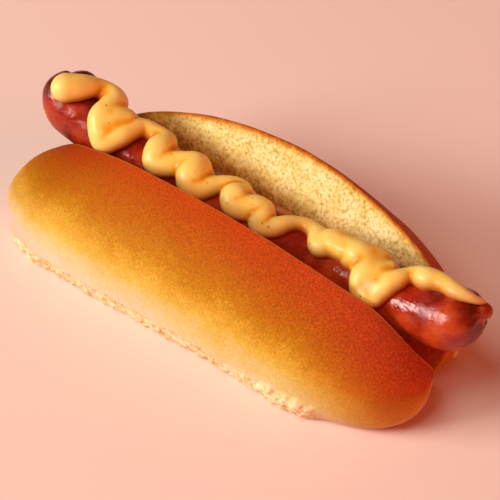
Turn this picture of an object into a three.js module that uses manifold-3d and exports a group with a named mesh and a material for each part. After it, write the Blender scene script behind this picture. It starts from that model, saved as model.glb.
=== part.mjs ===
// A hot dog: a frankfurter in a top-split soft roll, with a ribbon of mustard piped over it.
// Millimetres, +Z up, X along the roll, which stands on z = 0 with its hinge on y = 0.
import * as THREE from "three";
import { mergeVertices } from "three/addons/utils/BufferGeometryUtils.js";
import Module from "manifold-3d";

const wasm = await Module();
wasm.setup();

// ---- Driving dimensions ----

const GAP = 0.3; // air between two nodes that touch
const FINEST = 0.02; // detail smaller than this is dropped

// The roll is two halves of one loaf, joined along a hinge under the slit and opened like a book.
// Each half ends in a tip that lies on the cut. cutHeight is measured up the cut from the hinge.
const HINGE_HEIGHT = 4;
const HINGE_OVERLAP = 2;
const CUT_OVERLAP = 0.3; // the two cuts cross this far past each other at the bottom of the slit
const TIP_ALONG_CUT = 12;
const NEAR_HALF = {
  side: -1,
  centre: -1.4,
  halfLength: 79.6,
  endDimple: 0.12, // how much shorter the half is at the cut than at its middle
  opening: 24, // degrees that the cut leans out of the vertical
  edgeSlope: 20, // degrees that the crust falls away from the edge of the cut
  cutHeight: 45,
  bulge: 39,
  bulgeHeight: 17,
  foot: 36,
  splay: 0.09, // how much wider the half is at its left end than in the middle
  flare: 6, // degrees that the cut opens further towards its right end
  steepens: 0, // degrees that the edge falls away more on the right
  rises: 30, // and less at the left end, where the crust swells above the cut
  left: { plan: [6.5, 3.3], foot: [12, 2.8], belly: [20, 2.5], arch: [2.1, 1.48] },
  right: { plan: [5, 2.8], foot: [3.4, 2.5], belly: [11, 2.3], arch: [1.75, 1.95] },
  flap: 3, // how far the torn crumb stands out, right of the middle
  tornTo: 0.66, // where the torn foot stops, against the half length
};
const FAR_HALF = {
  side: 1,
  centre: 0.75,
  halfLength: 71.75,
  endDimple: 0.03,
  opening: 30,
  edgeSlope: 50,
  cutHeight: 44.2,
  bulge: 36,
  bulgeHeight: 14,
  foot: 33.5,
  splay: 0.03,
  flare: 0,
  steepens: 8,
  rises: 0,
  left: { plan: [2.6, 2], foot: [2.6, 2], belly: [8, 2.3], arch: [1.8, 1.95] },
  right: { plan: [2.4, 1.8], foot: [2.4, 1.8], belly: [20, 2.5], arch: [1.75, 1.95] },
  flap: 0,
  tornTo: 1.1,
};
// How each outline of a half rounds off to its tip: [flatness along the middle, roundness of the end].
const SLIT_END = [9, 3];

// The ragged band of bare crumb along each foot, where the roll was torn from its neighbours.
const TEAR_HEIGHT = 5;
const TEAR_DEPTH = 1.2; // it wanders between a third of this and all of it
const FLAP_AT = 0.55; // middle and half width of the flap, against the half length
const FLAP_SPREAD = 0.2;

const STATIONS = 50; // sections along one half
const CUT_STEPS = 3; // and points round a section: up the cut, over the shoulder, under the bulge
const SHOULDER_STEPS = 9;
const UNDER_STEPS = 8;

// The sausage is a link with round ends that both rise out of the roll, each with a twist of casing.
const SAUSAGE_RADIUS = 10;
const SAUSAGE_REACH = 75.3; // from the middle to the centre of either round end
const SAUSAGE_HEIGHT = 22.8;
const SAUSAGE_RISE = 10.2;
const SAUSAGE_BEND = 2.2; // a higher power keeps the middle straighter
const SAUSAGE_OFFSET = 0.5; // towards the far half
const SAUSAGE_SIDES = 20;
const SAUSAGE_STATIONS = 34;
const LEFT_TWIST = { end: -1, towards: [0.2, 0.42, 0.86], length: 2.4, radius: 5.5 };
const RIGHT_TWIST = { end: 1, towards: [0.75, 0.25, 0.6], length: 3.2, radius: 2.5 };

// The mustard ribbon, laid in zigzags: [x, degrees round the sausage from its top, half width].
const MUSTARD_FLATNESS = 0.92; // its thickness against its width
const MUSTARD_LIFT = 0.4; // its middle over the skin of the sausage, against its half width
const MUSTARD_SIDES = 8;
const MUSTARD_STATIONS = 6;
const MUSTARD_PATH = [
  [-74, -22, 4.5], [-71.3, -8, 4.1], [-67.9, 17, 3.4], [-65.3, 24, 3.4], [-60.1, 16, 4],
  [-58.9, -5, 4], [-58.2, -22, 4.6], [-56.7, -36, 4.3], [-54.2, -50, 3.9], [-52.2, -40, 3.8],
  [-50.3, -25, 3.8], [-48.8, -9, 3.3], [-47.3, 6, 3], [-44.5, 12, 3], [-40.9, 13, 3.2],
  [-37.8, 6, 3.8], [-36.8, -11, 4.5], [-35.1, -29, 4.2], [-32, -23, 4.1], [-29.3, -14, 4],
  [-26.3, -8, 4.4], [-23.8, -2, 4.7], [-22.2, -18, 5], [-20.9, -29, 4.3], [-18, -27, 3.7],
  [-14, -7, 3], [-11.6, 3, 3], [-9, 11, 3], [-6.1, 8, 3], [-5.9, -12, 4.6],
  [-4.4, -21, 4.1], [-0.8, -17, 4], [2.3, -9, 4], [4.5, -8, 3.5], [5.8, -29, 3.3],
  [9, -28, 3], [11.5, -18, 3], [15.6, 6, 2.3], [18.6, 12, 2.3], [22.4, 6, 2.7],
  [27.6, -15, 3.6], [29.5, -4, 4.3], [34.7, -1, 4.2], [41.2, -2, 4.5], [43.8, 8, 3.6],
  [49.4, 11, 2.2], [47.9, -3, 2.7], [46.5, -22, 4.1], [46.5, -39, 3.7], [47.4, -51, 3.2],
  [50.4, -55, 3.4], [52.4, -54, 2.8], [53.3, -41, 3.2], [54.5, -25, 3.5], [56.2, -14, 3.1],
  [57.7, 0, 2.5], [60.3, 7, 2.9], [63.8, 5, 3.5], [66.8, 9, 3.1], [70.1, 9, 2.8],
  [73.6, 3, 2.6], [76.8, 1, 2.2], [79.3, 4, 1.7], [81.3, 13, 1.3], [82.5, 33, 0.8],
];
// Where two runs of the ribbon flow together.
const MUSTARD_POOLS = [
  [-54.6, -12, 4.8], [-53, -5, 4.4], [42.9, -13, 4.2], [49.8, -34, 4.4], [50.2, -23, 4.6],
];

// ---- Small tools ----

const radians = THREE.MathUtils.degToRad;
const lerp = THREE.MathUtils.lerp;
const smoothstep = THREE.MathUtils.smoothstep;

// How much of an outline is left at s, from 1 in the middle of a length to 0 at its tip.
function fullness(s, [flat, round]) {
  return Math.pow(Math.max(0, 1 - Math.pow(Math.abs(s), flat)), 1 / round);
}

// A unit sphere drawn out into another closed form: place(along, around) gives each vertex,
// with both arguments from 0 to 1, and one single point for along = 0 and for along = 1.
function drawnOut(sides, stations, place) {
  const geometry = new THREE.SphereGeometry(1, sides, stations);
  const uv = geometry.getAttribute("uv");
  const position = geometry.getAttribute("position");
  for (let i = 0; i < position.count; i++) {
    const along = THREE.MathUtils.clamp(1 - uv.getY(i), 0, 1);
    const around = along % 1 ? (uv.getX(i) + 1) % 1 : 0;
    const p = place(along, around);
    position.setXYZ(i, p.x, p.y, p.z);
  }
  geometry.deleteAttribute("normal");
  geometry.deleteAttribute("uv");
  const merged = mergeVertices(geometry, 1e-5);
  return new wasm.Manifold(
    new wasm.Mesh({
      numProp: 3,
      vertProperties: merged.getAttribute("position").array,
      triVerts: new Uint32Array(merged.index.array),
    }),
  );
}

function node(name, body, colour, roughness) {
  const mesh = body.simplify(FINEST).getMesh();
  const geometry = new THREE.BufferGeometry();
  geometry.setAttribute("position", new THREE.BufferAttribute(mesh.vertProperties, 3));
  geometry.setIndex(new THREE.BufferAttribute(mesh.triVerts, 1));
  geometry.computeVertexNormals();
  const material = new THREE.MeshStandardMaterial({ color: colour, roughness, metalness: 0 });
  const made = new THREE.Mesh(geometry, material);
  made.name = name;
  return made;
}

// ---- Roll ----

function bezier(points, steps) {
  const curve = new THREE.CubicBezierCurve(...points.map(([y, z]) => new THREE.Vector2(y, z)));
  return curve.getPoints(steps).map((p) => [p.x, p.y]);
}

// The outline of one section of a half, [y, z] with y growing away from the hinge.
function halfSection(half, s) {
  const lean = radians(half.opening + half.flare * smoothstep(s, 0.7, 1));
  const onCut = (h) => [h * Math.sin(lean) - CUT_OVERLAP, HINGE_HEIGHT + h * Math.cos(lean)];
  const tip = onCut(TIP_ALONG_CUT);
  const end = s < 0 ? half.left : half.right;
  const arch = fullness(s, end.arch);
  const plan = fullness(s, end.plan);
  const stance = fullness(s, end.foot);
  const belly = fullness(s, end.belly);
  const top = lerp(TIP_ALONG_CUT, half.cutHeight, arch);
  const low = TIP_ALONG_CUT * (1 - fullness(s, SLIT_END));

  const edge = onCut(top);
  const wide = 1 - half.splay * s;
  const bulge = [lerp(tip[0], half.bulge * wide, plan), lerp(tip[1], half.bulgeHeight, plan)];
  const foot = [lerp(tip[0], half.foot * wide, stance), lerp(tip[1], 0, belly)];
  const heel = [lerp(tip[0], -HINGE_OVERLAP, belly), foot[1]];
  const out = 0.5 * (bulge[0] - edge[0]);
  const steeper = half.steepens * smoothstep(s, 0, 0.8) - half.rises * smoothstep(-s, 0.75, 0.97);
  const slope = radians(half.edgeSlope + steeper);
  const fall = Math.min(out * Math.tan(slope), 0.8 * (edge[1] - bulge[1]));

  const shoulder = bezier(
    [edge, [edge[0] + out, edge[1] - fall], [bulge[0], lerp(bulge[1], edge[1], 0.5)], bulge],
    SHOULDER_STEPS,
  );
  const under = bezier(
    [bulge, [bulge[0], lerp(bulge[1], foot[1], 0.6)], [lerp(foot[0], bulge[0], 0.6), foot[1]], foot],
    UNDER_STEPS,
  );
  const wander = 2 / 3 + (Math.sin(19 * s) + Math.sin(47 * s + 1)) / 6;
  const stands = half.flap * Math.exp(-Math.pow((s - FLAP_AT) / FLAP_SPREAD, 2));
  const step = s < half.tornTo ? (stands - TEAR_DEPTH * wander) * belly : 0;
  const torn = under.map(([y, z]) => [z < TEAR_HEIGHT ? y + step : y, z]);
  const points = [];
  for (let i = 0; i < CUT_STEPS; i++) points.push(onCut(lerp(low, top, i / CUT_STEPS)));
  points.push(...shoulder.slice(0, -1), ...torn);
  points.push(heel, [heel[0], lerp(tip[1], HINGE_HEIGHT - 1.5, belly)]);
  return points;
}

// The same outline moved outwards, for cutting a neighbour clear of it.
function grown(outline, by) {
  return outline.map(([y, z], i) => {
    const [y0, z0] = outline[(i + outline.length - 1) % outline.length];
    const [y1, z1] = outline[(i + 1) % outline.length];
    const length = Math.hypot(y1 - y0, z1 - z0) || 1;
    return [y - (by * (z1 - z0)) / length, z + (by * (y1 - y0)) / length];
  });
}

function halfLoaf(half, skin) {
  const sides = halfSection(half, 0).length;
  return drawnOut(sides, STATIONS, (along, around) => {
    const u = 2 * along - 1;
    const s = Math.sign(u) * (1 - Math.pow(1 - Math.abs(u), 1.6));
    const outline = grown(halfSection(half, s), along % 1 ? skin : 0);
    const step = Math.round(around * sides) % sides;
    const [y, z] = outline[half.side > 0 ? step : (sides - step) % sides];
    const deep = THREE.MathUtils.clamp(1 - y / (0.5 * half.bulge), 0, 1);
    const x = half.centre + half.halfLength * s * (1 - half.endDimple * deep * deep);
    return new THREE.Vector3(x, half.side * y, z);
  });
}

function roll(skin) {
  return halfLoaf(NEAR_HALF, skin).add(halfLoaf(FAR_HALF, skin));
}

// ---- Sausage ----

function sausageAxis(x) {
  const s = Math.abs(x) / SAUSAGE_REACH;
  return new THREE.Vector3(
    x,
    SAUSAGE_OFFSET * (1 - s * s),
    SAUSAGE_HEIGHT + SAUSAGE_RISE * Math.pow(s, SAUSAGE_BEND),
  );
}

// The radius of the link at x, which closes over its round ends.
function sausageRadius(x, radius) {
  const past = Math.max(0, Math.abs(x) - SAUSAGE_REACH);
  return Math.sqrt(Math.max(0, radius * radius - past * past));
}

function link(skin) {
  const radius = SAUSAGE_RADIUS + skin;
  const reach = SAUSAGE_REACH + radius;
  return drawnOut(SAUSAGE_SIDES, SAUSAGE_STATIONS, (along, around) => {
    const x = -reach * Math.cos(Math.PI * along);
    const r = sausageRadius(x, radius);
    const angle = 2 * Math.PI * around;
    return sausageAxis(x).add(new THREE.Vector3(0, r * Math.sin(angle), r * Math.cos(angle)));
  });
}

// A straight bead with round ends, from one point to another, with its flat side facing up.
function bead(from, to, up, halfWidth, halfHeight, sides, stations) {
  const along = to.clone().sub(from);
  const half = along.length() / 2;
  along.normalize();
  const aside = along.clone().cross(up).normalize();
  const above = aside.clone().cross(along);
  const middle = from.clone().add(to).multiplyScalar(0.5);
  return drawnOut(sides, stations, (t, around) => {
    const run = -(half + halfWidth) * Math.cos(Math.PI * t);
    const past = Math.max(0, Math.abs(run) - half) / halfWidth;
    const r = Math.sqrt(Math.max(0, 1 - past * past));
    const angle = 2 * Math.PI * around;
    return middle
      .clone()
      .addScaledVector(along, run)
      .addScaledVector(aside, halfWidth * r * Math.cos(angle))
      .addScaledVector(above, halfHeight * r * Math.sin(angle));
  });
}

function twist({ end, towards, length, radius }, skin) {
  const direction = new THREE.Vector3(...towards).normalize();
  const centre = sausageAxis(end * SAUSAGE_REACH);
  const root = centre.clone().addScaledVector(direction, SAUSAGE_RADIUS - radius);
  const tip = root.clone().addScaledVector(direction, length);
  return bead(root, tip, new THREE.Vector3(0, 1, 0), radius + skin, radius + skin, 10, 8);
}

function sausage(skin) {
  return link(skin).add(twist(LEFT_TWIST, skin)).add(twist(RIGHT_TWIST, skin));
}

// ---- Mustard ----

function onSausage([x, lean, width]) {
  const outward = new THREE.Vector3(0, Math.sin(radians(lean)), Math.cos(radians(lean)));
  const radius = sausageRadius(x, SAUSAGE_RADIUS) + MUSTARD_LIFT * width;
  return { point: sausageAxis(x).addScaledVector(outward, radius), outward };
}

function run(start, end) {
  const [p, q] = [onSausage(start), onSausage(end)];
  const up = p.outward.clone().add(q.outward);
  const width = (start[2] + end[2]) / 2;
  const height = MUSTARD_FLATNESS * width;
  return bead(p.point, q.point, up, width, height, MUSTARD_SIDES, MUSTARD_STATIONS);
}

function pool([x, lean, width]) {
  return run([x - width / 8, lean, width], [x + width / 8, lean, width]);
}

function mustard() {
  const runs = MUSTARD_PATH.slice(1).map((bend, i) => run(MUSTARD_PATH[i], bend));
  const body = wasm.Manifold.union([...runs, ...MUSTARD_POOLS.map(pool)]);
  return body.subtract(sausage(GAP)).subtract(roll(GAP));
}

// ---- The whole hot dog, centred over its origin ----

const group = new THREE.Group();
group.add(node("bun", roll(0).subtract(sausage(GAP)), 0xc9781f, 0.6));
group.add(node("sausage", sausage(0), 0x8c2a1c, 0.3));
group.add(node("mustard", mustard(), 0xeeb040, 0.35));

const middle = new THREE.Box3().setFromObject(group).getCenter(new THREE.Vector3());
group.children.forEach((mesh) => mesh.position.set(-middle.x, -middle.y, 0));

export default group;
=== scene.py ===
"""A hot dog: a frankfurter in a top-split roll with a ribbon of mustard piped over it.

Metres, +Z up, X along the sausage, the roll standing on z = 0. Shapes are worked out in
millimetres and written into the meshes in metres.
"""

import math

import bpy
import numpy as np
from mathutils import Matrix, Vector
from mathutils.bvhtree import BVHTree


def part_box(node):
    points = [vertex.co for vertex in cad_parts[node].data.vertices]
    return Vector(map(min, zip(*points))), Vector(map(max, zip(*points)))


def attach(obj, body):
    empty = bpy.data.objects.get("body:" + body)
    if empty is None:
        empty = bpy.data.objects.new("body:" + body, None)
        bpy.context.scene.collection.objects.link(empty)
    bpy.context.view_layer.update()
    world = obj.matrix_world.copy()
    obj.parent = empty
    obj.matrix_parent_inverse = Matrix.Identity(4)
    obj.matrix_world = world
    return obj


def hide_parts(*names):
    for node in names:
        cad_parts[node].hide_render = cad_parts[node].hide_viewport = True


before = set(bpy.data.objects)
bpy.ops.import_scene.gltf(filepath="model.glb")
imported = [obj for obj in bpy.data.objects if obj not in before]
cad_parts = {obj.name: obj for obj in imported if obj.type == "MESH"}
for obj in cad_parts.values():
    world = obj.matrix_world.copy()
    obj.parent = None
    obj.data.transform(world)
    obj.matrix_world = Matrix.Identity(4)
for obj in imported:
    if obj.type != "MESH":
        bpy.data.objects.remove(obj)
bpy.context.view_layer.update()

MM = 0.001
bpy.ops.object.select_all(action="DESELECT")

# ---- Named sizes, in millimetres and degrees ----

# Where the hinge line of the roll and the middle of the sausage lie in the part's frame.
SAUSAGE_RADIUS = 10
SAUSAGE_REACH = 75.3
HINGE_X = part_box("sausage")[0].x / MM + SAUSAGE_REACH + SAUSAGE_RADIUS
HINGE_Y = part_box("sausage")[0].y / MM + SAUSAGE_RADIUS
HINGE_HEIGHT = 4
HINGE_OVERLAP = 2
CUT_OVERLAP = 0.3
TIP_ALONG_CUT = 12

NEAR_HALF = {
    "side": -1,
    "centre": -1.4,
    "length": 79.6,
    "dimple": 0.12,
    "opening": 24,
    "edge_slope": 20,
    "cut_height": 45,
    "bulge": 39,
    "bulge_height": 17,
    "foot": 36,
    "splay": 0.09,
    "flare": 6,
    "steepens": 0,
    "rises": 30,
    "left": {"plan": (6.5, 3.3), "foot": (12, 2.8), "belly": (20, 2.5), "arch": (2.1, 1.48)},
    "right": {"plan": (5, 2.8), "foot": (3.4, 2.5), "belly": (11, 2.3), "arch": (1.75, 1.95)},
    "flap": 3,
    "torn_to": 0.66,
    "end_softness": 80,
}
FAR_HALF = {
    "side": 1,
    "centre": 0.75,
    "length": 71.75,
    "dimple": 0.03,
    "opening": 30,
    "edge_slope": 50,
    "cut_height": 44.2,
    "bulge": 36,
    "bulge_height": 14,
    "foot": 33.5,
    "splay": 0.03,
    "flare": 0,
    "steepens": 8,
    "rises": 0,
    "left": {"plan": (2.6, 2), "foot": (2.6, 2), "belly": (8, 2.3), "arch": (1.8, 1.95)},
    "right": {"plan": (2.4, 1.8), "foot": (2.4, 1.8), "belly": (20, 2.5), "arch": (1.75, 1.95)},
    "flap": 0,
    "torn_to": 1.1,
    "end_softness": 220,
}
SLIT_END = (9, 3)
TEAR_HEIGHT = 6.8
TEAR_DEPTH = 1.1
TEAR_RAGGED = 0.35
FLAP_AT = 0.55
FLAP_SPREAD = 0.2

# Shares of the turn round a section, after the cut face, the shoulder, the underside, the base
# and the hinge side.
TURNS = (0.27, 0.62, 0.76, 0.95, 1.0)
SECTION_POINTS = 288
SECTIONS = 300
SECTIONS_CROWD = 1.6  # above 1 they stand closer together towards the tips
# The bake is counted along a section: 0 at the foot, this much at the widest place, 1 at the split.
BAKE_AT_BULGE = 0.28
BAKE_INSIDE = 0.25

SAUSAGE_HEIGHT = 22.8
SAUSAGE_RISE = 10.2
SAUSAGE_BEND = 2.2
SAUSAGE_OFFSET = 0.5
SAUSAGE_SKIN_GRID = 0.5
KNOTS = (
    {"end": -1, "towards": (0.2, 0.42, 0.86), "length": 2.4, "radius": 5.5, "folds": 11},
    {"end": 1, "towards": (0.75, 0.25, 0.6), "length": 3.2, "radius": 2.5, "folds": 7},
)

# The mustard ribbon, laid in zigzags: x, degrees round the sausage from its top, half width.
MUSTARD_PATH = (
    (-74, -22, 4.5), (-71.3, -8, 4.1), (-69.7, 4, 3.7), (-67.9, 17, 3.2), (-65.3, 24, 3.4),
    (-60.1, 16, 4), (-58.9, -5, 4), (-58.2, -22, 4.6), (-56.7, -36, 4.3), (-55.1, -46, 4.1),
    (-54.2, -50, 3.9), (-52.2, -40, 3.8), (-50.3, -25, 3.8), (-48.8, -9, 3.3), (-47.3, 6, 3),
    (-44.5, 12, 3), (-40.9, 13, 3.2), (-37.8, 6, 3.8), (-36.8, -11, 4.5), (-35.8, -22, 4.5),
    (-35.1, -29, 4.2), (-32, -23, 4.1), (-29.3, -14, 4), (-26.3, -8, 4.4), (-23.8, -2, 4.7),
    (-22.2, -18, 5), (-20.9, -29, 4.3), (-18, -27, 3.7), (-16.1, -19, 3.4), (-14, -7, 3),
    (-11.6, 3, 3), (-9, 11, 3), (-6.1, 8, 3), (-5.9, -12, 4.6), (-4.4, -21, 4.1),
    (-0.8, -17, 4), (2.3, -9, 4), (4.5, -8, 3.5), (5.6, -20, 3.6), (5.8, -29, 3.3),
    (9, -28, 3), (11.5, -18, 3), (13.4, -5, 2.6), (15.6, 6, 2.3), (18.6, 12, 2.3),
    (22.4, 6, 2.7), (25.9, -6, 3.6), (27.6, -15, 3.6), (29.5, -4, 4.3), (34.7, -1, 4.2),
    (37.1, 0, 4.2), (41.2, -2, 4.5), (43.8, 8, 3.6), (46.9, 12, 2.9), (49.4, 11, 2.2),
    (47.9, -3, 2.7), (46.5, -22, 4.1), (46.5, -39, 3.7), (47.4, -51, 3.2), (50.4, -55, 3.4),
    (52.4, -54, 2.8), (53.3, -41, 3.2), (54.5, -25, 3.5), (56.2, -14, 3.1), (57.7, 0, 2.5),
    (60.3, 7, 2.9), (63.8, 5, 3.5), (66.8, 9, 3.1), (70.1, 9, 2.8), (73.6, 3, 2.6),
    (76.8, 1, 2.2), (79.3, 4, 1.7), (81.3, 13, 1.3), (82.5, 33, 0.8),
)
# Where two runs of the ribbon flow together: x, degrees from the top, radius.
MUSTARD_POOLS = (
    (-55.6, -21, 5.5), (-54.6, -12, 5.4), (-53, -5, 4.9), (-53.5, -30, 4.4), (-50.5, 1, 3),
    (-49, 11, 2.8), (-32.6, -7, 3.7), (-19.5, -5, 3.4), (-2.7, 0, 3.4), (7, -14, 2.7),
    (30.7, 12, 3.6),
    (38.7, -11, 3.6), (42.9, -13, 4.2), (46, -9, 4), (49.5, -45, 3.8), (49.8, -34, 4.4),
    (50.2, -23, 4.6), (49.5, -12, 4.2), (53, -14, 3), (59.5, 19, 2.6), (51.5, -4, 3.6),
    (44.5, -8, 4.8), (47, 1, 4),
)
# Sheets of mustard with no run left to see in them: x, degrees from the top, then their reach
# along x and in degrees.
MUSTARD_SHEETS = ((50, -24, 5.5, 26), (46.5, -8, 5, 20), (-54.5, -14, 4.5, 26))
MUSTARD_FLATNESS = 0.92
MUSTARD_LIFT = 0.4
MUSTARD_GRID = 0.36
MUSTARD_SETTLES = 1.12  # times its half width, for what the smoothing takes off
POOL_LIFT = 0.22

# Within this of the filling the crumb is stained and painted with shade and warm bounce; evenly pale
# beyond.
FAR_FROM_FILLING = 9

# Camera and light.
CAMERA_TARGET = (HINGE_X - 10.51, HINGE_Y + 10.4, 0)
CAMERA_DISTANCE = 707.4
CAMERA_AZIMUTH = 39.5
CAMERA_ELEVATION = 44.3
CAMERA_LENS = 158.4

# The bake of the crust, from its foot to the split.
CRUST_BROWNS = [
    (0.0, "#e2ceb0"), (0.14, "#e0ceae"), (0.25, "#dac282"), (0.35, "#d5ae4a"), (0.45, "#cb972f"),
    (0.55, "#b67812"), (0.65, "#ae640a"), (0.76, "#ac5608"), (0.87, "#ad490a"), (0.97, "#b4430e"),
]


# ---- Small tools ----


def linear(code):
    """A colour written as sRGB hex, as linear red, green, blue and alpha."""
    parts = [int(code[i : i + 2], 16) / 255 for i in (1, 3, 5)]
    return [p / 12.92 if p <= 0.04045 else ((p + 0.055) / 1.055) ** 2.4 for p in parts] + [1]


def ball(name, points_round, sections):
    """A unit ball, alone selected, with its poles on the Z axis."""
    bpy.ops.object.select_all(action="DESELECT")
    bpy.ops.mesh.primitive_uv_sphere_add(segments=points_round, ring_count=sections, radius=1)
    piece = bpy.context.object
    piece.name = piece.data.name = name
    return piece


def places(piece):
    """Where each vertex of a piece is, in its mesh."""
    co = np.empty(len(piece.data.vertices) * 3)
    piece.data.vertices.foreach_get("co", co)
    return co.reshape(-1, 3)


def put(piece, co):
    """Moves each vertex of a piece to its row of co."""
    piece.data.vertices.foreach_set("co", np.ascontiguousarray(co, float).ravel())
    piece.data.update()


def finish_with(piece, kind, **settings):
    """Adds a modifier to a piece and applies it."""
    bpy.context.view_layer.objects.active = piece
    modifier = piece.modifiers.new(kind, kind)
    for key, value in settings.items():
        setattr(modifier, key, value)
    bpy.ops.object.modifier_apply(modifier=modifier.name)


def even_out(piece, times, within=""):
    """Evens a surface out so many times, all over or within a vertex group."""
    finish_with(piece, "SMOOTH", factor=0.5, iterations=times, vertex_group=within)


def joined(parts, name):
    """Makes one piece of several, under a name of its own."""
    bpy.ops.object.select_all(action="DESELECT")
    for part in parts:
        part.select_set(True)
    piece = bpy.context.view_layer.objects.active = parts[0]
    bpy.ops.object.join()
    piece.name = piece.data.name = name
    return piece


def store(piece, name, values):
    """Keeps one number for each vertex, for the materials to read."""
    layer = piece.data.attributes.new(name, "FLOAT", "POINT")
    layer.data.foreach_set("value", np.ascontiguousarray(values, np.float32))


def group(piece, name, weights, levels=12):
    """A vertex group with the given weights, rounded to a few levels."""
    made = piece.vertex_groups.new(name=name)
    steps = np.round(np.clip(weights, 0, 1) * levels).astype(int)
    for step in range(1, levels + 1):
        chosen = np.flatnonzero(steps == step)
        if len(chosen):
            made.add(chosen.tolist(), step / levels, "REPLACE")


def relief(piece, name, kind, size, height, weights=None, **settings):
    """Raises and lowers the surface by a pattern whose features are size mm across."""
    pattern = bpy.data.textures.new(name, kind)
    pattern.noise_scale = size * MM
    for key, value in settings.items():
        setattr(pattern, key, value)
    if weights is not None:
        group(piece, name, weights)
    finish_with(
        piece,
        "DISPLACE",
        texture=pattern,
        texture_coords="LOCAL",
        strength=height * MM,
        mid_level=0.5,
        vertex_group="" if weights is None else name,
    )


def hollows(piece, passes):
    """How far each vertex lies below the even surface round it, in millimetres."""
    mesh = piece.data
    ends = np.empty(2 * len(mesh.edges), np.int32)
    mesh.edges.foreach_get("vertices", ends)
    a, b = ends.reshape(-1, 2).T
    co = places(piece) / MM
    count = len(co)
    beside = np.bincount(a, minlength=count) + np.bincount(b, minlength=count)
    even = co
    for _ in range(passes):
        total = [
            np.bincount(a, even[b, k], count) + np.bincount(b, even[a, k], count) for k in range(3)
        ]
        even = 0.5 * even + 0.5 * np.stack(total, 1) / beside[:, None]
    normal = np.empty(3 * count)
    mesh.vertices.foreach_get("normal", normal)
    return ((even - co) * normal.reshape(-1, 3)).sum(1)


def clearance(co, pieces):
    """The distance in millimetres from each place in co to the nearest of the pieces."""
    trees = [
        BVHTree.FromPolygons(
            places(piece).tolist(), [face.vertices[:] for face in piece.data.polygons]
        )
        for piece in pieces
    ]
    reach = FAR_FROM_FILLING * MM
    found = [[tree.find_nearest(place, reach)[3] for tree in trees] for place in co.tolist()]
    return np.array([min([reach] + [d for d in row if d is not None]) for row in found]) / MM


def smoothstep(low, high, value):
    t = np.clip((value - low) / (high - low), 0, 1)
    return t * t * (3 - 2 * t)


def blend(a, b, t):
    return a + (b - a) * t


def fullness(s, end):
    """How much of an outline is left at s: 1 in the middle of a length, 0 at its tip."""
    flat, round_ = end
    return np.power(np.maximum(0, 1 - np.power(np.abs(s), flat)), 1 / round_)


def bezier(points, t):
    a, b, c, d = points
    return [
        (1 - t) ** 3 * a[k] + 3 * t * (1 - t) ** 2 * b[k] + 3 * t * t * (1 - t) * c[k] + t**3 * d[k]
        for k in (0, 1)
    ]


# ---- Roll ----


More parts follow.
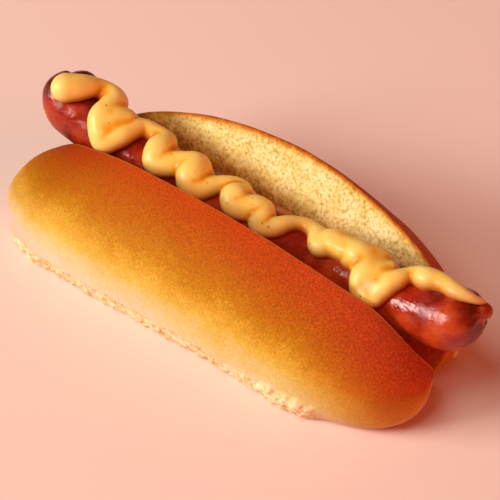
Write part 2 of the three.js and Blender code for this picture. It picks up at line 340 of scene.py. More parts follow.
def half_loaf(name, half):
    """One half of the opened roll, a ball drawn out along X through the sections of the loaf."""
    piece = ball(name, SECTION_POINTS, SECTIONS)
    unit = places(piece)
    along = np.arccos(np.clip(-unit[:, 2], -1, 1)) / math.pi
    around = (np.arctan2(unit[:, 1], unit[:, 0]) / (2 * math.pi)) % 1
    around = np.where((along < 1e-4) | (along > 1 - 1e-4), 0, around)
    u = 2 * along - 1
    s = np.sign(u) * (1 - np.power(1 - np.abs(u), SECTIONS_CROWD))

    lean = np.radians(half["opening"] + half["flare"] * smoothstep(0.7, 1, s))

    def on_cut(h):
        return h * np.sin(lean) - CUT_OVERLAP, HINGE_HEIGHT + h * np.cos(lean)

    ends = {
        key: np.where(s < 0, fullness(s, half["left"][key]), fullness(s, half["right"][key]))
        for key in ("plan", "foot", "belly", "arch")
    }
    tip = on_cut(TIP_ALONG_CUT)
    top = blend(TIP_ALONG_CUT, half["cut_height"], ends["arch"])
    low = TIP_ALONG_CUT * (1 - fullness(s, SLIT_END))
    edge = on_cut(top)
    wide = 1 - half["splay"] * s
    bulge = (
        blend(tip[0], half["bulge"] * wide, ends["plan"]),
        blend(tip[1], half["bulge_height"], ends["plan"]),
    )
    foot = (
        blend(tip[0], half["foot"] * wide, ends["foot"]),
        blend(tip[1], 0, ends["belly"]),
    )
    heel = (blend(tip[0], -HINGE_OVERLAP, ends["belly"]), foot[1])
    out = 0.5 * (bulge[0] - edge[0])
    slope = half["edge_slope"] + half["steepens"] * smoothstep(0, 0.8, s)
    slope = np.radians(slope - half["rises"] * smoothstep(0.75, 0.97, -s))
    fall = np.minimum(out * np.tan(slope), 0.8 * (edge[1] - bulge[1]))
    shoulder = (
        edge,
        (edge[0] + out, edge[1] - fall),
        (bulge[0], blend(bulge[1], edge[1], 0.5)),
        bulge,
    )
    under = (
        bulge,
        (bulge[0], blend(bulge[1], foot[1], 0.6)),
        (blend(foot[0], bulge[0], 0.6), foot[1]),
        foot,
    )

    cut_end, shoulder_end, under_end, base_end, _ = TURNS
    k_cut = around / cut_end
    k_shoulder = (around - cut_end) / (shoulder_end - cut_end)
    k_under = (around - shoulder_end) / (under_end - shoulder_end)
    k_base = (around - under_end) / (base_end - under_end)
    k_hinge = (around - base_end) / (1 - base_end)
    cut = on_cut(blend(low, top, k_cut))
    shoulder_at = bezier(shoulder, np.clip(k_shoulder, 0, 1))
    under_at = bezier(under, np.clip(k_under, 0, 1))
    base = (blend(foot[0], heel[0], k_base), foot[1] + 0 * k_base)
    inner = on_cut(low)
    hinge = (blend(heel[0], inner[0], k_hinge), blend(heel[1], inner[1], k_hinge))
    zones = [around <= cut_end, around <= shoulder_end, around <= under_end, around <= base_end]
    y = np.select(zones, [cut[0], shoulder_at[0], under_at[0], base[0]], hinge[0])
    z = np.select(zones, [cut[1], shoulder_at[1], under_at[1], base[1]], hinge[1])

    # Bare crumb steps in under a ragged edge of crust where the roll was torn from its neighbour.
    waver = np.sin(41 * s + 2) + np.sin(97 * s) + 0.7 * np.sin(173 * s + 1)
    edge_height = TEAR_HEIGHT + TEAR_RAGGED * waver
    torn = smoothstep(-0.7, 0.7, edge_height - z) * (around > cut_end) * ends["belly"]
    torn = torn * (around < under_end + 0.02) * (1 - smoothstep(-0.04, 0.04, s - half["torn_to"]))
    wander = 2 / 3 + (np.sin(19 * s) + np.sin(47 * s + 1)) / 6
    stands = half["flap"] * np.exp(-(((s - FLAP_AT) / FLAP_SPREAD) ** 2))
    y = y + (stands - TEAR_DEPTH * wander) * torn

    deep = np.clip(1 - y / (0.5 * half["bulge"]), 0, 1)
    x = half["centre"] + half["length"] * s * (1 - half["dimple"] * deep * deep)
    co = np.stack([HINGE_X + x, HINGE_Y + half["side"] * y, z], 1) * MM
    put(piece, co)

    is_cut = around < cut_end
    from_rim = np.where(
        is_cut, (k_cut - 1) * (top - low), np.hypot(y - edge[0], z - edge[1])
    )
    climb = np.select(
        [is_cut, around <= shoulder_end, around <= under_end],
        [
            1 + 0 * k_cut,
            1 - (1 - BAKE_AT_BULGE) * k_shoulder,
            BAKE_AT_BULGE - BAKE_AT_BULGE * k_under,
        ],
        BAKE_INSIDE,
    )
    store(piece, "from_rim", from_rim)
    store(piece, "climb", climb)
    store(piece, "torn", torn)
    store(piece, "lengthwise", s)
    return piece, {
        "cut": is_cut & (from_rim < -1e-3),
        "below_rim": is_cut * smoothstep(0.2, 1, -from_rim),
        "torn": torn,
        "ends": smoothstep(0.84, 0.98, np.abs(s)),
    }


def bake_half(name, half, filling):
    """A half with its unevenness, its open crumb and its torn foot, ready for its materials."""
    piece, zones = half_loaf(name, half)
    bpy.ops.object.select_all(action="DESELECT")
    piece.select_set(True)
    bpy.ops.object.mode_set(mode="EDIT")
    bpy.ops.mesh.select_all(action="SELECT")
    bpy.ops.mesh.normals_make_consistent(inside=False)
    bpy.ops.object.mode_set(mode="OBJECT")
    off_floor = smoothstep(1.5, 8, places(piece)[:, 2] / MM)
    even_out(piece, 3)
    group(piece, "ends", zones["ends"])
    even_out(piece, half["end_softness"], "ends")
    relief(piece, name + "_swell", "CLOUDS", 26, 1.1, off_floor, noise_depth=1)
    relief(piece, name + "_crumb", "CLOUDS", 1.6, 0.5, zones["below_rim"], noise_depth=3)
    relief(piece, name + "_torn", "CLOUDS", 1.9, 1.6, zones["torn"], noise_depth=3)
    co = places(piece)
    co[:, 2] = np.maximum(co[:, 2], 0)
    put(piece, co)
    cut = zones["cut"]
    # Distance to the filling, read by the crumb's colour for its stain and its painted shade and
    # bounce.
    gap = np.full(len(cut), FAR_FROM_FILLING)
    gap[cut] = clearance(co[cut], filling)
    store(piece, "gap", gap)
    piece.data.materials.append(crust)
    piece.data.materials.append(crumb)
    for face in piece.data.polygons:
        face.material_index = int(sum(bool(cut[v]) for v in face.vertices) >= 2)
    bpy.ops.object.shade_smooth()
    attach(piece, "root")
    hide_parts("bun")
    return piece


# ---- Sausage ----


def sausage_axis(x):
    """The middle line of the sausage at x, measured from its own middle."""
    s = np.abs(x) / SAUSAGE_REACH
    y = SAUSAGE_OFFSET * (1 - s * s)
    z = SAUSAGE_HEIGHT + SAUSAGE_RISE * np.power(s, SAUSAGE_BEND)
    return np.stack([HINGE_X + x, HINGE_Y + y, z], -1)


def sausage_radius(x):
    past = np.maximum(0, np.abs(x) - SAUSAGE_REACH)
    return np.sqrt(np.maximum(0, SAUSAGE_RADIUS**2 - past**2))


def make_knot(knot):
    """The twisted nub of casing at one end, a small ball with folds running to its tip."""
    piece = ball("knot", 64, 32)
    unit = places(piece)
    turn = np.arctan2(unit[:, 1], unit[:, 0])
    high = unit[:, 2]
    fold = 1 + 0.13 * np.sin(knot["folds"] * turn + 2.2 * high) * (1 - high**2)
    reach = knot["radius"] * unit * np.stack([fold, fold, np.ones_like(fold)], 1)
    reach[:, 2] += np.sign(high) * knot["length"] / 2
    towards = Vector(knot["towards"]).normalized()
    turned = towards.to_track_quat("Z", "X").to_matrix()
    centre = sausage_axis(np.array(knot["end"] * SAUSAGE_REACH))
    root = centre + np.array(towards) * (SAUSAGE_RADIUS - knot["radius"] + knot["length"] / 2)
    put(piece, (reach @ np.array(turned).T + root) * MM)
    return piece


def make_sausage():
    piece = ball("sausage_link", 96, 260)
    unit = places(piece)
    reach = SAUSAGE_REACH + SAUSAGE_RADIUS
    x = reach * unit[:, 2]
    angle = np.arctan2(unit[:, 1], unit[:, 0])
    r = sausage_radius(x)
    co = sausage_axis(x)
    co[:, 1] += r * np.sin(angle)
    co[:, 2] += r * np.cos(angle)
    for knot in KNOTS:
        towards = np.array(Vector(knot["towards"]).normalized())
        centre = sausage_axis(np.array(knot["end"] * SAUSAGE_REACH))
        root = centre + towards * SAUSAGE_RADIUS
        away = np.linalg.norm(co - root, axis=1)
        side = np.cross(towards, (0, 1, 0))
        side /= np.linalg.norm(side)
        other = np.cross(towards, side)
        turn = np.arctan2((co - centre) @ side, (co - centre) @ other)
        pucker = np.exp(-((away / (knot["radius"] + 5)) ** 2))
        depth = pucker * (0.5 + 0.5 * np.sin(knot["folds"] * turn + 1.5 * np.sin(3 * turn)))
        ring = np.exp(-(((away - knot["radius"] - 1.2) / 1.6) ** 2))
        inward = centre - co
        inward /= np.linalg.norm(inward, axis=1, keepdims=True) + 1e-9
        co = co + inward * (0.7 * depth + 0.8 * ring)[:, None]
    put(piece, co * MM)
    piece = joined([piece] + [make_knot(knot) for knot in KNOTS], "frankfurter")
    finish_with(piece, "REMESH", mode="VOXEL", voxel_size=SAUSAGE_SKIN_GRID * MM)
    even_out(piece, 4)
    relief(piece, "casing_sag", "CLOUDS", 11, 0.5, noise_depth=1)
    relief(piece, "casing_pull", "CLOUDS", 3.2, 0.16, noise_depth=2)
    piece.data.materials.clear()
    piece.data.materials.append(casing)
    bpy.ops.object.shade_smooth()
    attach(piece, "root")
    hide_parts("sausage")
    return piece


# ---- Mustard ----


def through(bends, steps):
    """A smooth run through the bends, which neither overshoots them nor cuts them short."""
    rows = np.array(bends, float)
    rows = np.vstack([2 * rows[0] - rows[1], rows, 2 * rows[-1] - rows[-2]])
    made = []
    scale = np.array([1, 0.2, 1])
    for a, b, c, d in zip(rows, rows[1:], rows[2:], rows[3:]):
        gaps = [
            max(1e-3, np.linalg.norm((q - p) * scale)) ** 0.5 for p, q in ((a, b), (b, c), (c, d))
        ]
        t0, t1 = 0, gaps[0]
        t2, t3 = t1 + gaps[1], t1 + gaps[1] + gaps[2]
        for t in np.linspace(t1, t2, steps, endpoint=False):
            p = (t1 - t) / (t1 - t0) * a + (t - t0) / (t1 - t0) * b
            q = (t2 - t) / (t2 - t1) * b + (t - t1) / (t2 - t1) * c
            r = (t3 - t) / (t3 - t2) * c + (t - t2) / (t3 - t2) * d
            m = (t2 - t) / (t2 - t0) * p + (t - t0) / (t2 - t0) * q
            n = (t3 - t) / (t3 - t1) * q + (t - t1) / (t3 - t1) * r
            made.append((t2 - t) / (t2 - t1) * m + (t - t1) / (t2 - t1) * n)
    made.append(rows[-2])
    return np.array(made)


def over_sausage(x, lean, height):
    """A place so high over the skin of the sausage, at x and leaning so far round from the top."""
    outward = np.stack([0 * x, np.sin(np.radians(lean)), np.cos(np.radians(lean))], 1)
    return sausage_axis(x) + outward * (sausage_radius(x) + height)[:, None]


def make_mustard():
    x, lean, width = through(MUSTARD_PATH, 5).T
    width = width * MUSTARD_SETTLES
    middle = over_sausage(x, lean, MUSTARD_LIFT * width)
    bpy.ops.object.select_all(action="DESELECT")
    bpy.ops.curve.primitive_bezier_curve_add()
    rope = bpy.context.object
    rope.name = "rope"
    rope.data.splines.clear()
    spline = rope.data.splines.new("POLY")
    spline.points.add(len(middle) - 1)
    for point, place, half in zip(spline.points, middle, width):
        point.co = (*(place * MM), 1)
        point.radius = half
    rope.data.bevel_depth = MM
    rope.data.bevel_resolution = 6
    rope.data.use_fill_caps = True
    bpy.ops.object.convert(target="MESH")
    rope = bpy.context.object
    blobs = [(middle[0], width[0]), (middle[-1], width[-1])]
    x, lean, width = np.array(MUSTARD_POOLS).T
    blobs += list(zip(over_sausage(x, lean, POOL_LIFT * width), width))
    parts = [rope]
    for place, radius in blobs:
        blob = ball("blob", 32, 16)
        put(blob, (places(blob) * radius + place) * MM)
        parts.append(blob)
    piece = joined(parts, "mustard_ribbon")
    finish_with(piece, "REMESH", mode="VOXEL", voxel_size=MUSTARD_GRID * MM)
    even_out(piece, 30)
    co = places(piece) / MM
    offset = co - sausage_axis(co[:, 0] - HINGE_X)
    lean = np.degrees(np.arctan2(offset[:, 1], offset[:, 2]))
    sheet = np.zeros(len(co))
    for x, middle_lean, reach, spread in MUSTARD_SHEETS:
        away = np.hypot((co[:, 0] - HINGE_X - x) / reach, (lean - middle_lean) / spread)
        sheet = np.maximum(sheet, 1 - smoothstep(0.7, 1.15, away))
    group(piece, "sheets", sheet)
    even_out(piece, 90, "sheets")
    co = places(piece) / MM
    along = np.clip(co[:, 0] - HINGE_X, -SAUSAGE_REACH, SAUSAGE_REACH)
    spine = sausage_axis(along)
    away = co - spine
    far = np.linalg.norm(away, axis=1, keepdims=True)
    above = np.maximum(0, far - SAUSAGE_RADIUS)
    squashed = np.minimum(far, SAUSAGE_RADIUS) + above * MUSTARD_FLATNESS
    put(piece, (spine + away / far * squashed) * MM)
    relief(piece, "mustard_flow", "CLOUDS", 6, 0.3, noise_depth=1)
    # The depth of its folds and its height over the skin, read by its colour for painted shade and
    # highlight.
    store(piece, "hollow", hollows(piece, 60))
    store(piece, "thickness", above[:, 0])
    piece.data.materials.clear()
    piece.data.materials.append(mustard)
    bpy.ops.object.shade_smooth()
    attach(piece, "root")
    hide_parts("mustard")
    return piece


# ---- Materials ----


def new_material(name):
    """A material with its node tree and its one shader."""
    made = bpy.data.materials.new(name)
    made.use_nodes = True
    return made, made.node_tree, made.node_tree.nodes["Principled BSDF"]


def add(tree, kind, inputs=None, stops=None, **settings):
    """Adds one node: inputs are numbers, colours or sockets to link, stops fill a colour ramp."""
    node = tree.nodes.new(kind)
    for key, value in settings.items():
        setattr(node, key, value)
    for key, value in (inputs or {}).items():
        if isinstance(value, bpy.types.NodeSocket):
            tree.links.new(value, node.inputs[key])
        else:
            node.inputs[key].default_value = value
    if stops:
        elements = node.color_ramp.elements
        while len(elements) < len(stops):
            elements.new(0.5)
        for element, (position, code) in zip(elements, stops):
            element.position = position
            element.color = linear(code)
    return node


def baked_crust():
    """Egg-washed, oven-browned crust: satin, darkest along the split and pale at the foot."""
    made, tree, shader = new_material("baked crust")
    spot = add(tree, "ShaderNodeTexCoord").outputs["Object"]
    climb = add(tree, "ShaderNodeAttribute", attribute_name="climb").outputs["Fac"]
    torn = add(tree, "ShaderNodeAttribute", attribute_name="torn").outputs["Fac"]
    rim = add(tree, "ShaderNodeAttribute", attribute_name="from_rim").outputs["Fac"]
    length = add(tree, "ShaderNodeAttribute", attribute_name="lengthwise").outputs["Fac"]
    cloud = add(
        tree, "ShaderNodeTexNoise", {"Vector": spot, "Scale": 55, "Detail": 3}
    ).outputs["Fac"]
    mottle = add(
        tree, "ShaderNodeTexNoise", {"Vector": spot, "Scale": 320, "Detail": 4}
    ).outputs["Fac"]
    # Fine blisters of the glaze, 0.5 to 0.8 mm across.
    grain = add(
        tree, "ShaderNodeTexNoise", {"Vector": spot, "Scale": 1700, "Detail": 2}
    ).outputs["Fac"]
    drift = -0.2
    for pattern, share in ((cloud, 0.16), (mottle, 0.12), (grain, 0.12)):
        drift = add(
            tree, "ShaderNodeMath", {0: pattern, 1: share, 2: drift}, operation="MULTIPLY_ADD"
        ).outputs[0]
    lift = add(
        tree, "ShaderNodeMath", {0: length, 1: 0.1, 2: drift}, operation="MULTIPLY_ADD"
    ).outputs[0]
    pale_end = add(
        tree, "ShaderNodeMapRange",
        {"Value": length, "From Min": -1, "From Max": -0.75, "To Min": -0.06, "To Max": 0}
    ).outputs["Result"]
    dark_end = add(
        tree, "ShaderNodeMapRange",
        {"Value": length, "From Min": 0.6, "From Max": 1, "To Min": 0, "To Max": 0.26},
        interpolation_type="SMOOTHSTEP",
    ).outputs["Result"]
    above_foot = add(
        tree, "ShaderNodeMapRange",
        {"Value": climb, "From Min": 0, "From Max": 0.45, "To Min": 0.3, "To Max": 1}
    ).outputs["Result"]
    ends = add(
        tree, "ShaderNodeMath", {0: dark_end, 1: above_foot, 2: pale_end}, operation="MULTIPLY_ADD"
    ).outputs[0]
    warm = add(tree, "ShaderNodeMath", {0: climb, 1: lift}, operation="ADD").outputs[0]
    baked = add(tree, "ShaderNodeMath", {0: warm, 1: ends}, operation="ADD").outputs[0]
    brown = add(tree, "ShaderNodeValToRGB", {"Fac": baked}, stops=CRUST_BROWNS).outputs["Color"]
    # Pale specks on the blisters: painted glints, a painted highlight, over their own mottling.
    glints = add(
        tree, "ShaderNodeMapRange",
        {"Value": grain, "From Min": 0.34, "From Max": 0.66, "To Min": 0.24, "To Max": -0.18},
    ).outputs["Result"]
    coarse = add(
        tree, "ShaderNodeMapRange",
        {"Value": climb, "From Min": 0.3, "From Max": 0.8, "To Min": 0.2, "To Max": 1}
    ).outputs["Result"]
    by_length = add(
        tree, "ShaderNodeMapRange",
        {"Value": length, "From Min": -1, "From Max": 1, "To Min": 0.5, "To Max": 1.4}
    ).outputs["Result"]
    coarse = add(tree, "ShaderNodeMath", {0: coarse, 1: by_length}, operation="MULTIPLY").outputs[0]
    speckle = add(
        tree, "ShaderNodeMath", {0: glints, 1: coarse, 2: 1}, operation="MULTIPLY_ADD"
    ).outputs[0]
    # One end sat on the hotter side of the tray: browner along its split. Its tip is darker low
    # down: painted shade.
    hotter = add(
        tree, "ShaderNodeMapRange",
        {"Value": length, "From Min": -0.75, "From Max": -0.4, "To Min": 1, "To Max": 0}
    ).outputs["Result"]
    near_split = add(
        tree, "ShaderNodeMapRange",
        {"Value": climb, "From Min": 0.6, "From Max": 1, "To Min": 0, "To Max": 1}
    ).outputs["Result"]
    browner = add(
        tree, "ShaderNodeMath", {0: hotter, 1: near_split}, operation="MULTIPLY"
    ).outputs[0]
    tip = add(
        tree, "ShaderNodeMapRange",
        {"Value": length, "From Min": -1, "From Max": -0.6, "To Min": 1, "To Max": 0}
    ).outputs["Result"]
    lower = add(
        tree, "ShaderNodeMapRange",
        {"Value": climb, "From Min": 0.5, "From Max": 0.8, "To Min": 1, "To Max": 0}
    ).outputs["Result"]
    tip = add(tree, "ShaderNodeMath", {0: tip, 1: lower}, operation="MULTIPLY").outputs[0]
    # The other end is redder, partly bake and partly painted red bounced light, and darkest where
    # its split closes.
    redder = add(
        tree, "ShaderNodeMapRange",
        {"Value": length, "From Min": 0.55, "From Max": 0.95, "To Min": 0, "To Max": 0.55}
    ).outputs["Result"]
    along_split = add(
        tree, "ShaderNodeMapRange",
        {"Value": length, "From Min": 0, "From Max": 0.5, "To Min": 0, "To Max": 0.4}
    ).outputs["Result"]
    redder = add(
        tree, "ShaderNodeMath", {0: along_split, 1: near_split, 2: redder}, operation="MULTIPLY_ADD"
    ).outputs[0]
    brown = add(
        tree, "ShaderNodeMix", {0: redder, 6: brown, 7: linear("#b84a26")}, data_type="RGBA"
    ).outputs[2]
    closing = add(
        tree, "ShaderNodeMapRange",
        {"Value": length, "From Min": 0.6, "From Max": 0.95, "To Min": 0, "To Max": 1}
    ).outputs["Result"]
    # Darkest where its split closes: bake and painted shade together.
    browned_and_shaded = add(
        tree, "ShaderNodeMath", {0: closing, 1: near_split}, operation="MULTIPLY"
    ).outputs[0]
    for share, code in ((browner, "#d6bcaa"), (tip, "#e2cacf"), (browned_and_shaded, "#d8c6d2")):
        brown = add(
            tree, "ShaderNodeMix", {0: share, 6: brown, 7: linear(code)}, data_type="RGBA",
            blend_type="MULTIPLY"
        ).outputs[2]
    skin = add(
        tree, "ShaderNodeVectorMath", {0: brown, "Scale": speckle}, operation="SCALE"
    ).outputs["Vector"]
    # The cut shows the crust's own thickness as a lighter line.
    line = add(
        tree, "ShaderNodeMapRange",
        {"Value": rim, "From Min": 0.15, "From Max": 0.55, "To Min": 0.6, "To Max": 0}
    ).outputs["Result"]
    edged = add(
        tree, "ShaderNodeMix", {0: line, 6: skin, 7: linear("#d8884a")}, data_type="RGBA"
    ).outputs[2]
    bare = add(tree, "ShaderNodeTexNoise", {"Vector": spot, "Scale": 700, "Detail": 4})
    crumbly = add(
        tree, "ShaderNodeValToRGB", {"Fac": bare.outputs["Fac"]},
        stops=[(0.32, "#c4924e"), (0.42, "#e2c28c"), (0.54, "#ecd6a8"), (0.7, "#f3e6c4")],
    ).outputs["Color"]
    colour = add(
        tree, "ShaderNodeMix", {0: torn, 6: edged, 7: crumbly}, data_type="RGBA"
    ).outputs[2]
    tree.links.new(colour, shader.inputs["Base Color"])
    rough = add(
        tree, "ShaderNodeMapRange", {"Value": torn, "To Min": 0.62, "To Max": 0.9}
    ).outputs["Result"]
    tree.links.new(rough, shader.inputs["Roughness"])
    shader.inputs["IOR"].default_value = 1.45
    shader.inputs["Specular IOR Level"].default_value = 0.08
    bump = add(
        tree, "ShaderNodeBump", {"Height": grain, "Strength": 0.6, "Distance": 0.0003}
    ).outputs["Normal"]
    tree.links.new(bump, shader.inputs["Normal"])
    return made


def cut_crumb():
    """Soft open crumb on the cut faces: matt, buttery, with fine pores and a browned rim."""
    made, tree, shader = new_material("cut crumb")
    spot = add(tree, "ShaderNodeTexCoord").outputs["Object"]
    rim = add(tree, "ShaderNodeAttribute", attribute_name="from_rim").outputs["Fac"]
    gap = add(tree, "ShaderNodeAttribute", attribute_name="gap").outputs["Fac"]
    length = add(tree, "ShaderNodeAttribute", attribute_name="lengthwise").outputs["Fac"]
    soft = add(tree, "ShaderNodeTexNoise", {"Vector": spot, "Scale": 200, "Detail": 4})
    even = add(
        tree, "ShaderNodeValToRGB", {"Fac": soft.outputs["Fac"]},
        stops=[(0.35, "#efd98a"), (0.5, "#f5e29a"), (0.65, "#f9eaac")],
    ).outputs["Color"]
    cells = add(
        tree, "ShaderNodeTexNoise", {"Vector": spot, "Scale": 1000, "Detail": 3}
    ).outputs["Fac"]
    cell_shade = add(
        tree, "ShaderNodeValToRGB", {"Fac": cells}, stops=[(0.48, "#ffffff"), (0.68, "#d6c288")]
    ).outputs["Color"]
    base = add(
        tree, "ShaderNodeMix", {0: 1.0, 6: even, 7: cell_shade}, data_type="RGBA",
        blend_type="MULTIPLY"
    ).outputs[2]
    wander = add(
        tree, "ShaderNodeTexNoise", {"Vector": spot, "Scale": 260, "Detail": 3}
    ).outputs["Fac"]
    depth = add(
        tree, "ShaderNodeMath", {0: wander, 1: 1.3, 2: rim}, operation="MULTIPLY_ADD"
    ).outputs[0]
    toast = add(
        tree, "ShaderNodeValToRGB",
        {"Fac": add(
            tree, "ShaderNodeMapRange", {"Value": depth, "From Min": -2.8, "From Max": 0.8}
        ).outputs["Result"]},
        stops=[
            (0.0, "#ffffff"), (0.4, "#fae6c6"), (0.65, "#dd944a"), (0.85, "#b05a1c"),
            (1.0, "#8c3a10")
        ],
    ).outputs["Color"]
    tinted = add(
        tree, "ShaderNodeMix", {0: 1.0, 6: base, 7: toast}, data_type="RGBA", blend_type="MULTIPLY"
    ).outputs[2]
    # Fat and mustard stain the crumb where the filling lies against it; painted shade darkens it
    # there too.
    stain_and_shade_fade = add(
        tree, "ShaderNodeMapRange",
        {"Value": length, "From Min": -0.3, "From Max": 0.5, "To Min": -0.6, "To Max": 4.6}
    ).outputs["Result"]
    clear = add(tree, "ShaderNodeMath", {0: gap, 1: stain_and_shade_fade}, operation="ADD").outputs[0]
    soaked_and_shaded = add(
        tree, "ShaderNodeMath", {0: wander, 1: -5, 2: clear}, operation="MULTIPLY_ADD"
    ).outputs[0]
    stain_and_shadow = add(
        tree, "ShaderNodeMapRange",
        {"Value": soaked_and_shaded, "From Min": -1.4, "From Max": 3.8, "To Min": 1, "To Max": 0},
        interpolation_type="SMOOTHSTEP",
    ).outputs["Result"]
    stain_and_shadow_share = add(tree, "ShaderNodeMath", {0: stain_and_shadow, 1: 0.88}, operation="MULTIPLY").outputs[0]
    near_filling = add(
        tree, "ShaderNodeMapRange",
        {"Value": clear, "From Min": 0, "From Max": 9, "To Min": 1, "To Max": 0}
    ).outputs["Result"]
    # Painted warm bounced light: a deeper, warmer yellow in the shade near the filling.
    painted_warm_bounce = add(
        tree, "ShaderNodeMix", {0: near_filling, 6: tinted, 7: linear("#f8c658")}, data_type="RGBA",
    ).outputs[2]
    stained_and_shaded = add(
        tree, "ShaderNodeMix", {0: stain_and_shadow_share, 6: painted_warm_bounce, 7: linear("#c87a22")}, data_type="RGBA"
    ).outputs[2]
    # Pores 0.3 to 1 mm across, ragged, longer up the slope of the cut than along it.
    stretched = add(
        tree, "ShaderNodeMapping",
        {"Vector": spot, "Rotation": (math.radians(-25), 0, 0), "Scale": (1, 1, 0.8)}
    ).outputs["Vector"]
    holes = []
    for scale, least, most in ((950, 0.55, 0.67), (400, 0.63, 0.69)):
        bubbles = add(
            tree, "ShaderNodeTexNoise",
            {"Vector": stretched, "Scale": scale, "Detail": 3, "Roughness": 0.6}
        ).outputs["Fac"]
        crowded = add(
            tree, "ShaderNodeMath", {0: stain_and_shadow, 1: 0.1, 2: bubbles}, operation="MULTIPLY_ADD"
        ).outputs[0]
        holes.append(add(
            tree, "ShaderNodeMapRange", {"Value": crowded, "From Min": least, "From Max": most}
        ).outputs["Result"])
    hole = add(tree, "ShaderNodeMath", {0: holes[0], 1: holes[1]}, operation="MAXIMUM").outputs[0]
    shade = add(tree, "ShaderNodeMath", {0: hole, 1: 0.56}, operation="MULTIPLY").outputs[0]
    inside = add(
        tree, "ShaderNodeMix", {0: stain_and_shadow, 6: linear("#b88c2c"), 7: linear("#7e400c")},
        data_type="RGBA"
    ).outputs[2]
    pored = add(
        tree, "ShaderNodeMix", {0: shade, 6: stained_and_shaded, 7: inside}, data_type="RGBA"
    ).outputs[2]
    # At the ends of the split the crust closes over it.
    reach = add(tree, "ShaderNodeMath", {0: length}, operation="ABSOLUTE").outputs[0]
    at_tip = add(
        tree, "ShaderNodeMapRange", {"Value": reach, "From Min": 0.91, "From Max": 0.98},
        interpolation_type="SMOOTHSTEP",
    ).outputs["Result"]
    height_above = add(tree, "ShaderNodeSeparateXYZ", {"Vector": spot}).outputs["Z"]
    low = add(
        tree, "ShaderNodeMapRange",
        {"Value": height_above, "From Min": 0.014, "From Max": 0.022, "To Min": 1, "To Max": 0}
    ).outputs["Result"]
    near_tip = add(
        tree, "ShaderNodeMapRange", {"Value": reach, "From Min": 0.6, "From Max": 0.8}
    ).outputs["Result"]
    below = add(tree, "ShaderNodeMath", {0: low, 1: near_tip}, operation="MULTIPLY").outputs[0]
    closed = add(tree, "ShaderNodeMath", {0: at_tip, 1: below}, operation="MAXIMUM").outputs[0]
    colour = add(
        tree, "ShaderNodeMix", {0: closed, 6: pored, 7: linear("#d65e36")}, data_type="RGBA"
    ).outputs[2]
    tree.links.new(colour, shader.inputs["Base Color"])
    fine = add(tree, "ShaderNodeTexNoise", {"Vector": spot, "Scale": 1800, "Detail": 2})
    height = add(
        tree, "ShaderNodeMath", {0: hole, 1: -0.6, 2: fine.outputs["Fac"]}, operation="MULTIPLY_ADD"
    ).outputs[0]
    strength = add(
        tree, "ShaderNodeMapRange", {"Value": closed, "To Min": 0.6, "To Max": 0.1}
    ).outputs["Result"]
    bump = add(
        tree, "ShaderNodeBump", {"Height": height, "Strength": strength, "Distance": 0.0003}
    ).outputs["Normal"]
    tree.links.new(bump, shader.inputs["Normal"])
    shader.inputs["Roughness"].default_value = 0.92
    shader.inputs["Specular IOR Level"].default_value = 0.15
    shader.inputs["Subsurface Weight"].default_value = 0.1
    shader.inputs["Subsurface Radius"].default_value = (1.0, 0.55, 0.25)
    shader.inputs["Subsurface Scale"].default_value = 0.0015
    return made


def smoked_casing():
    """Smoked collagen casing, wet with fat: glossy, deep red-brown, unevenly coloured."""
    made, tree, shader = new_material("smoked casing")
    spot = add(tree, "ShaderNodeTexCoord").outputs["Object"]
    cloud = add(tree, "ShaderNodeTexNoise", {"Vector": spot, "Scale": 110, "Detail": 4})
    # It took more smoke at one end.
    far_along = add(tree, "ShaderNodeSeparateXYZ", {"Vector": spot}).outputs["X"]
    smoke = add(
        tree, "ShaderNodeMath", {0: far_along, 1: 1.0, 2: cloud.outputs["Fac"]},
        operation="MULTIPLY_ADD"
    ).outputs[0]
    smoked = add(
        tree, "ShaderNodeValToRGB", {"Fac": smoke},
        stops=[(0.32, "#580c05"), (0.5, "#941f0a"), (0.68, "#b63f14")],
    ).outputs["Color"]
    # Painted shade darkens the skin in the pucker where it is drawn together round each nub.
    colour = smoked
    for knot in KNOTS:
        centre = Vector(sausage_axis(np.array(knot["end"] * SAUSAGE_REACH)))
        root = (centre + Vector(knot["towards"]).normalized() * SAUSAGE_RADIUS) * MM
        away = add(
            tree, "ShaderNodeVectorMath", {0: spot, 1: root}, operation="DISTANCE"
        ).outputs["Value"]
        outside = add(
            tree, "ShaderNodeMapRange",
            {"Value": away, "From Min": 0.005, "From Max": 0.012, "To Min": 0.75, "To Max": 0},
            interpolation_type="SMOOTHSTEP",
        ).outputs["Result"]
        past_nub = add(
            tree, "ShaderNodeMapRange", {"Value": away, "From Min": 0.002, "From Max": 0.0045}
        ).outputs["Result"]
        painted_dimple_shade = add(
            tree, "ShaderNodeMath", {0: outside, 1: past_nub}, operation="MULTIPLY"
        ).outputs[0]
        colour = add(
            tree, "ShaderNodeMix", {0: painted_dimple_shade, 6: colour, 7: linear("#4a0a06")}, data_type="RGBA"
        ).outputs[2]
    tree.links.new(colour, shader.inputs["Base Color"])
    # The skin pulls into creases along the link, 3 to 6 mm apart, that break up its shine.
    drawn = add(tree, "ShaderNodeMapping", {"Vector": spot, "Scale": (0.7, 1, 1)}).outputs["Vector"]
    crease = add(
        tree, "ShaderNodeTexNoise", {"Vector": drawn, "Scale": 160, "Detail": 5, "Roughness": 0.58}
    )
    rough = add(
        tree, "ShaderNodeMapRange",
        {
            "Value": crease.outputs["Fac"], "From Min": 0.43, "From Max": 0.57, "To Min": 0.13,
            "To Max": 0.36,
        },
    ).outputs["Result"]
    tree.links.new(rough, shader.inputs["Roughness"])
    bump = add(
        tree, "ShaderNodeBump",
        {"Height": crease.outputs["Fac"], "Strength": 0.55, "Distance": 0.0012}
    ).outputs["Normal"]
    tree.links.new(bump, shader.inputs["Normal"])
    shader.inputs["IOR"].default_value = 1.45
    shader.inputs["Subsurface Weight"].default_value = 0.1
    shader.inputs["Subsurface Radius"].default_value = (1.0, 0.3, 0.15)
    shader.inputs["Subsurface Scale"].default_value = 0.002
    return made


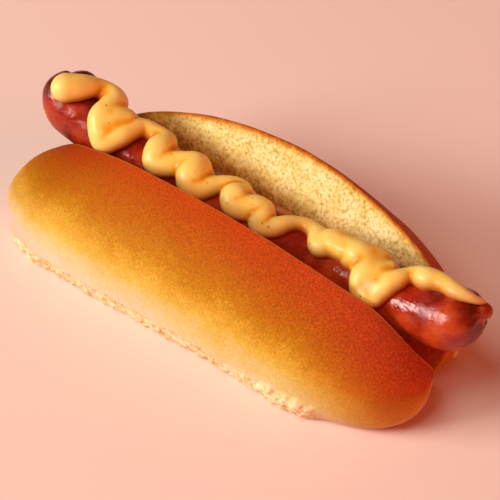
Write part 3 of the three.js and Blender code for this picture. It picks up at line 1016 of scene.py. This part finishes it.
def yellow_mustard():
    """Smooth prepared mustard: thick and opaque, mellow yellow, with a wet sheen and a few husks."""
    made, tree, shader = new_material("yellow mustard")
    spot = add(tree, "ShaderNodeTexCoord").outputs["Object"]
    hollow = add(tree, "ShaderNodeAttribute", attribute_name="hollow").outputs["Fac"]
    cloud = add(
        tree, "ShaderNodeTexNoise", {"Vector": spot, "Scale": 90, "Detail": 2}
    ).outputs["Fac"]
    deep = add(
        tree, "ShaderNodeMath", {0: cloud, 1: 0.12, 2: hollow}, operation="MULTIPLY_ADD"
    ).outputs[0]
    # Paler on its ridges, a painted highlight, and deeper orange in its folds, painted shade.
    base = add(
        tree, "ShaderNodeValToRGB",
        {"Fac": add(
            tree, "ShaderNodeMapRange", {"Value": deep, "From Min": -0.3, "From Max": 0.38}
        ).outputs["Result"]},
        stops=[(0.0, "#f3d784"), (0.4, "#f3ca5e"), (0.6, "#e79d22"), (1.0, "#c04e04")],
    ).outputs["Color"]
    # Bits of husk, 0.4 to 0.8 mm across and some millimetres apart.
    husk = add(
        tree, "ShaderNodeTexVoronoi", {"Vector": spot, "Scale": 210, "Randomness": 1.0}
    ).outputs["Distance"]
    speck = add(
        tree, "ShaderNodeMapRange",
        {"Value": husk, "From Min": 0.05, "From Max": 0.1, "To Min": 0.7, "To Max": 0}
    ).outputs["Result"]
    # Darker orange low on the ribbon: partly the sausage showing through thin mustard, partly
    # painted shade.
    thickness = add(tree, "ShaderNodeAttribute", attribute_name="thickness").outputs["Fac"]
    thin_and_low_side = add(
        tree, "ShaderNodeMapRange",
        {"Value": thickness, "From Min": 0.6, "From Max": 5.2, "To Min": 0.9, "To Max": 0},
        interpolation_type="SMOOTHSTEP",
    ).outputs["Result"]
    film_and_painted_shade = add(
        tree, "ShaderNodeMix", {0: thin_and_low_side, 6: base, 7: linear("#b85806")}, data_type="RGBA"
    ).outputs[2]
    colour = add(
        tree, "ShaderNodeMix", {0: speck, 6: film_and_painted_shade, 7: linear("#9c661c")}, data_type="RGBA"
    ).outputs[2]
    tree.links.new(colour, shader.inputs["Base Color"])
    shader.inputs["Roughness"].default_value = 0.34
    shader.inputs["IOR"].default_value = 1.45
    shader.inputs["Specular IOR Level"].default_value = 0.42
    shader.inputs["Subsurface Weight"].default_value = 0.18
    shader.inputs["Subsurface Radius"].default_value = (1.0, 0.4, 0.08)
    shader.inputs["Subsurface Scale"].default_value = 0.002
    return made


def seamless_paper():
    """Pale matt backdrop paper."""
    made, _, shader = new_material("backdrop paper")
    shader.inputs["Base Color"].default_value = linear("#f2d8ce")
    shader.inputs["Roughness"].default_value = 0.8
    return made


crust = baked_crust()
crumb = cut_crumb()
casing = smoked_casing()
mustard = yellow_mustard()

# ---- The hot dog ----

filling = [make_sausage(), make_mustard()]
bake_half("near_half", NEAR_HALF, filling)
bake_half("far_half", FAR_HALF, filling)

# ---- Floor, light and camera ----

bpy.ops.object.select_all(action="DESELECT")
bpy.ops.mesh.primitive_plane_add(size=6, location=(0, 0, 0))
floor = bpy.context.object
floor.name = "floor"
floor.data.materials.append(seamless_paper())


def direction(azimuth, elevation):
    a, e = math.radians(azimuth), math.radians(elevation)
    return Vector((math.sin(a) * math.cos(e), -math.cos(a) * math.cos(e), math.sin(e)))


def soft_light(name, azimuth, elevation, distance, width, height, power, code):
    """A softbox that faces the hot dog."""
    towards = direction(azimuth, elevation)
    bpy.ops.object.light_add(type="AREA", location=towards * distance)
    lamp = bpy.context.object
    lamp.name = name
    lamp.rotation_euler = towards.to_track_quat("Z", "Y").to_euler()
    lamp.data.shape = "RECTANGLE"
    lamp.data.size = width
    lamp.data.size_y = height
    lamp.data.energy = power
    lamp.data.color = linear(code)[:3]
    return lamp


soft_light("window", -40, 26, 2, 1.0, 0.6, 40, "#fff6ec")
# Only the window shows in the shine of the sausage and the mustard.
for lamp in (
    soft_light("overhead", -15, 60, 2, 1.2, 1.2, 17, "#fff4e8"),
    soft_light("warm_fill", 95, 20, 2, 1.2, 1.2, 20, "#ff7450"),
):
    lamp.visible_glossy = False

world = bpy.data.worlds.new("studio")
bpy.context.scene.world = world
world.use_nodes = True
world.node_tree.nodes["Background"].inputs["Color"].default_value = linear("#ff946c")
world.node_tree.nodes["Background"].inputs["Strength"].default_value = 0.14

back = direction(CAMERA_AZIMUTH, CAMERA_ELEVATION)
bpy.ops.object.camera_add(location=(Vector(CAMERA_TARGET) + back * CAMERA_DISTANCE) * MM)
camera = bpy.context.object
camera.rotation_euler = back.to_track_quat("Z", "Y").to_euler()
camera.data.lens = CAMERA_LENS
camera.data.sensor_width = 36
camera.data.clip_start = 0.01
bpy.context.scene.camera = camera
bpy.context.scene.view_settings.view_transform = "Standard"
